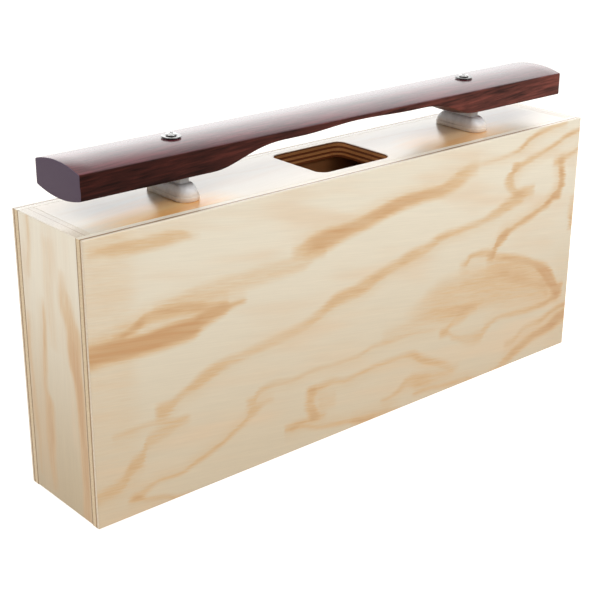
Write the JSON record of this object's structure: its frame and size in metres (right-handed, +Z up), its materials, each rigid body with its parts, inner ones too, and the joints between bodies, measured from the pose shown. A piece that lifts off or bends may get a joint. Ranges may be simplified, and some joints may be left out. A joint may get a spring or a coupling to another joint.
{
  "type": "resonator bar",
  "caption": "Tuned rosewood bar held by screws on two elastomer pads above a closed plywood resonance box with a sound hole, struck with a mallet.",
  "frame": {"origin": "on the ground under the middle of the resonance box", "axes": "+X along the bar, +Z up, -Y towards the front panel"},
  "size_m": [0.55, 0.099, 0.2812],
  "materials": {
    "pine_plywood": "pale rotary-cut pine plywood, satin",
    "rosewood": "dark rosewood, polished lacquer",
    "pale_elastomer": "smooth whitish moulded elastomer",
    "bright_zinc": "bright zinc plate",
    "black_rubber": "matte"
  },
  "bodies": {
    "stand": {"front_panel": "pine_plywood", "back_panel": "pine_plywood", "left_end_panel": "pine_plywood", "right_end_panel": "pine_plywood", "bottom_panel": "pine_plywood", "top_panel": "pine_plywood", "left_support_pad": "pale_elastomer", "right_support_pad": "pale_elastomer", "left_screw": "bright_zinc", "right_screw": "bright_zinc", "left_washer": "bright_zinc", "right_washer": "bright_zinc", "left_screw_sleeve": "black_rubber", "right_screw_sleeve": "black_rubber"},
    "bar": {"tone_bar": "rosewood"}
  },
  "joints": [
    {"name": "bar_float", "type": "slide", "parent": "stand", "child": "bar", "axis": [0, 0, 1], "range_m": [0, 0.0005]}
  ]
}
